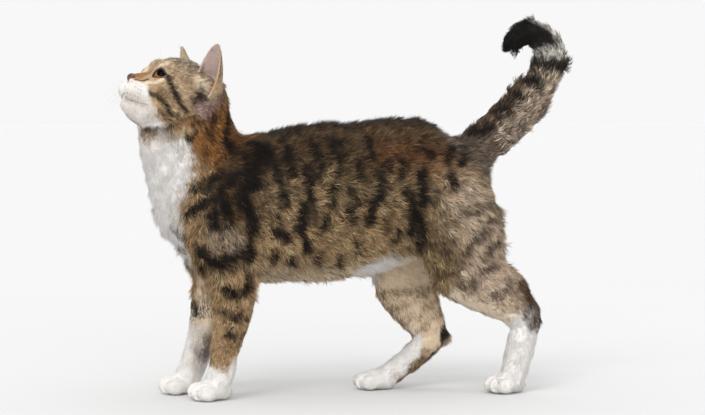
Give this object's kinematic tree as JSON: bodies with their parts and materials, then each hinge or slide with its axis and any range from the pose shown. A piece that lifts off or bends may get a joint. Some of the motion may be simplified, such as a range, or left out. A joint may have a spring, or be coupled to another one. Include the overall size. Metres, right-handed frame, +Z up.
{
  "type": "american wirehair cat",
  "caption": "Life-size still model of a brown tabby and white cat that stands side on, looks up and holds its tail high with the tip curled forward.",
  "frame": {"origin": "on the floor, under the middle of the box around the whole cat", "axes": "-X is the way the cat faces, -Y is its left side, +Z is up"},
  "size_m": [0.459, 0.1318, 0.379],
  "materials": {
    "head": "short dense fur",
    "neck": "dense fur",
    "torso": "dense wiry fur",
    "ear_left": "thin fur over skin",
    "ear_right": "thin fur over skin",
    "eye_left": "wet, glossy",
    "eye_right": "wet, glossy",
    "tail_base": "dense wiry fur",
    "tail_middle": "dense wiry fur",
    "tail_tip": "dense wiry fur",
    "foreleg_left": "short fur",
    "foreleg_right": "short fur",
    "forepaw_left": "short white fur",
    "forepaw_right": "short white fur",
    "thigh_left": "dense wiry fur",
    "thigh_right": "dense wiry fur",
    "shank_left": "dense wiry fur",
    "shank_right": "dense wiry fur",
    "hindfoot_left": "short white fur",
    "hindfoot_right": "short white fur"
  },
  "bodies": {
    "root": {"head": "head", "neck": "neck", "torso": "torso", "ear_left": "ear_left", "ear_right": "ear_right", "eye_left": "eye_left", "eye_right": "eye_right", "tail_base": "tail_base", "tail_middle": "tail_middle", "tail_tip": "tail_tip", "foreleg_left": "foreleg_left", "foreleg_right": "foreleg_right", "forepaw_left": "forepaw_left", "forepaw_right": "forepaw_right", "thigh_left": "thigh_left", "thigh_right": "thigh_right", "shank_left": "shank_left", "shank_right": "shank_right", "hindfoot_left": "hindfoot_left", "hindfoot_right": "hindfoot_right"}
  },
  "joints": []
}
